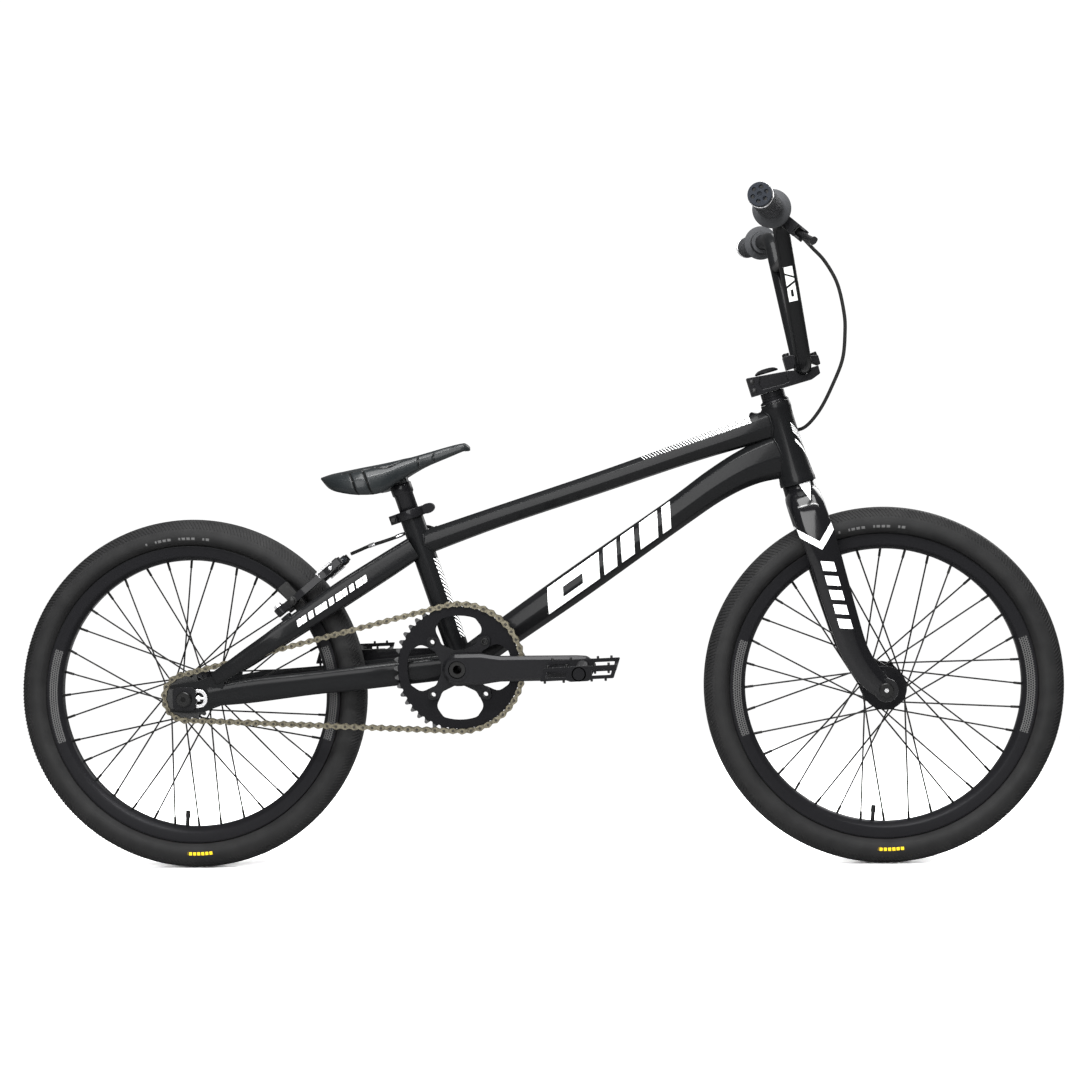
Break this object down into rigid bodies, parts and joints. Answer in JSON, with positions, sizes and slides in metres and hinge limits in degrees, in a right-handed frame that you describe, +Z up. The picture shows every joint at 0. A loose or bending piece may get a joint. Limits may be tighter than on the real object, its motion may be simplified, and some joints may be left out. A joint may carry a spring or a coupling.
{
  "type": "bmx bike",
  "caption": "Small-wheeled racing bicycle with a low flat frame, rigid fork, high crossbar handlebar, single-speed chain drive and one rear rim brake.",
  "frame": {"origin": "on the ground line, midway between the two axles, in the middle plane of the frame; a person or a stand holds the bicycle upright there", "axes": "+X towards the front wheel, +Y to the rider's left, +Z up; the chain side faces -Y"},
  "size_m": [1.476, 0.7232, 0.9159],
  "materials": {
    "axle_block_left": "black anodised",
    "axle_block_right": "black anodised",
    "bar_plug_left": "black anodised",
    "bar_plug_right": "black anodised",
    "bb_cup_left": "black anodised",
    "bb_cup_right": "black anodised",
    "bb_shell": "satin black paint",
    "brake_arm_left": "black anodised",
    "brake_arm_right": "black anodised",
    "brake_housing_front": "black cable housing",
    "brake_housing_rear": "black cable housing",
    "brake_lever": "black anodised",
    "brake_lever_bracket": "black anodised",
    "chain": "nickel-plated steel, slightly worn",
    "chainring": "black anodised",
    "chainstay_left": "satin black paint",
    "chainstay_right": "satin black paint",
    "crank_arm_left": "black anodised",
    "crank_arm_right": "black anodised",
    "crank_spindle": "steel",
    "down_tube": "satin black paint",
    "dropout_left": "satin black paint",
    "dropout_right": "satin black paint",
    "fork": "gloss black paint",
    "front_axle": "steel",
    "front_hub": "black anodised",
    "front_rim": "black anodised",
    "front_spokes_left": "black wire",
    "front_spokes_right": "black wire",
    "front_tyre": "black tyre rubber",
    "grip_left": "dark grey rubber",
    "grip_right": "dark grey rubber",
    "handlebar": "black anodised",
    "head_tube": "satin black paint",
    "headset_bearing_lower": "steel",
    "headset_bearing_upper": "steel",
    "headset_spacers": "black anodised",
    "pedal_axle_left": "steel",
    "pedal_axle_right": "steel",
    "pedal_left": "black anodised",
    "pedal_right": "black anodised",
    "rear_axle": "steel",
    "rear_cog": "steel",
    "rear_hub": "black anodised",
    "rear_rim": "black anodised",
    "rear_spokes_left": "black wire",
    "rear_spokes_right": "black wire",
    "rear_tyre": "black tyre rubber",
    "saddle": "satin black shell",
    "seat_clamp": "black anodised",
    "seat_post": "black anodised",
    "seat_tube": "satin black paint",
    "seatstay_left": "satin black paint",
    "seatstay_right": "satin black paint",
    "stay_bridge": "satin black paint",
    "stem": "black anodised",
    "stem_cap": "black anodised",
    "top_cap": "black anodised",
    "top_tube": "satin black paint"
  },
  "bodies": {
    "frame": {"head_tube": "head_tube", "headset_bearing_lower": "headset_bearing_lower", "headset_bearing_upper": "headset_bearing_upper", "top_tube": "top_tube", "down_tube": "down_tube", "seat_tube": "seat_tube", "bb_shell": "bb_shell", "bb_cup_right": "bb_cup_right", "bb_cup_left": "bb_cup_left", "dropout_right": "dropout_right", "dropout_left": "dropout_left", "chainstay_right": "chainstay_right", "chainstay_left": "chainstay_left", "seatstay_right": "seatstay_right", "seatstay_left": "seatstay_left", "stay_bridge": "stay_bridge", "axle_block_right": "axle_block_right", "axle_block_left": "axle_block_left", "rear_axle": "rear_axle", "seat_clamp": "seat_clamp", "chain": "chain", "brake_housing_rear": "brake_housing_rear"},
    "steering": {"fork": "fork", "headset_spacers": "headset_spacers", "stem": "stem", "stem_cap": "stem_cap", "top_cap": "top_cap", "handlebar": "handlebar", "grip_right": "grip_right", "grip_left": "grip_left", "bar_plug_right": "bar_plug_right", "bar_plug_left": "bar_plug_left", "brake_lever_bracket": "brake_lever_bracket", "front_axle": "front_axle", "brake_housing_front": "brake_housing_front"},
    "front_wheel": {"front_tyre": "front_tyre", "front_rim": "front_rim", "front_hub": "front_hub", "front_spokes_right": "front_spokes_right", "front_spokes_left": "front_spokes_left"},
    "rear_wheel": {"rear_tyre": "rear_tyre", "rear_rim": "rear_rim", "rear_hub": "rear_hub", "rear_spokes_right": "rear_spokes_right", "rear_spokes_left": "rear_spokes_left"},
    "sprocket": {"rear_cog": "rear_cog"},
    "crank": {"crank_spindle": "crank_spindle", "crank_arm_right": "crank_arm_right", "crank_arm_left": "crank_arm_left", "chainring": "chainring", "pedal_axle_right": "pedal_axle_right", "pedal_axle_left": "pedal_axle_left"},
    "right_pedal": {"pedal_right": "pedal_right"},
    "left_pedal": {"pedal_left": "pedal_left"},
    "lever": {"brake_lever": "brake_lever"},
    "right_brake_arm": {"brake_arm_right": "brake_arm_right"},
    "left_brake_arm": {"brake_arm_left": "brake_arm_left"},
    "seat": {"seat_post": "seat_post", "saddle": "saddle"}
  },
  "joints": [
    {"name": "steering_turn", "type": "hinge", "parent": "frame", "child": "steering", "pos_m": [0.3754, 0, 0.5341], "axis": [-0.2588, 0, 0.9659], "range_deg": [-80, 80], "deforming": ["brake_housing_front"]},
    {"name": "front_wheel_spin", "type": "hinge", "parent": "steering", "child": "front_wheel", "pos_m": [0.488, 0, 0.25], "axis": [0, 1, 0], "continuous": true},
    {"name": "rear_wheel_spin", "type": "hinge", "parent": "frame", "child": "rear_wheel", "pos_m": [-0.488, 0, 0.25], "axis": [0, 1, 0], "continuous": true},
    {"name": "crank_spin", "type": "hinge", "parent": "frame", "child": "crank", "pos_m": [-0.101, 0, 0.287], "axis": [0, 1, 0], "continuous": true},
    {"name": "sprocket_spin", "type": "hinge", "parent": "frame", "child": "sprocket", "pos_m": [-0.488, 0, 0.25], "axis": [0, 1, 0], "continuous": true},
    {"name": "right_pedal_spin", "type": "hinge", "parent": "crank", "child": "right_pedal", "pos_m": [0.074, -0.1355, 0.287], "axis": [0, 1, 0], "continuous": true},
    {"name": "left_pedal_spin", "type": "hinge", "parent": "crank", "child": "left_pedal", "pos_m": [-0.276, 0.1355, 0.287], "axis": [0, 1, 0], "continuous": true},
    {"name": "lever_pull", "type": "hinge", "parent": "steering", "child": "lever", "pos_m": [0.37369, -0.20136, 0.86138], "axis": [-0.6542, 0.0719, -0.7529], "range_deg": [0, 15], "stiffness_Nm_per_rad": 1.5},
    {"name": "right_brake_close", "type": "hinge", "parent": "frame", "child": "right_brake_arm", "pos_m": [-0.3513, -0.04, 0.3707], "axis": [-0.6369, 0, 0.7709], "range_deg": [0, 4.5]},
    {"name": "left_brake_close", "type": "hinge", "parent": "frame", "child": "left_brake_arm", "pos_m": [-0.3513, 0.04, 0.3707], "axis": [0.6369, 0, -0.7709], "range_deg": [0, 4.5]},
    {"name": "seat_height", "type": "slide", "parent": "frame", "child": "seat", "axis": [-0.31, 0, 0.9507], "range_m": [-0.02, 0.045]}
  ],
  "couplings": [
    {"joint": "sprocket_spin", "follows": "crank_spin", "ratio": 2.75},
    {"joint": "right_brake_close", "follows": "lever_pull", "ratio": 0.3},
    {"joint": "left_brake_close", "follows": "lever_pull", "ratio": 0.3}
  ]
}
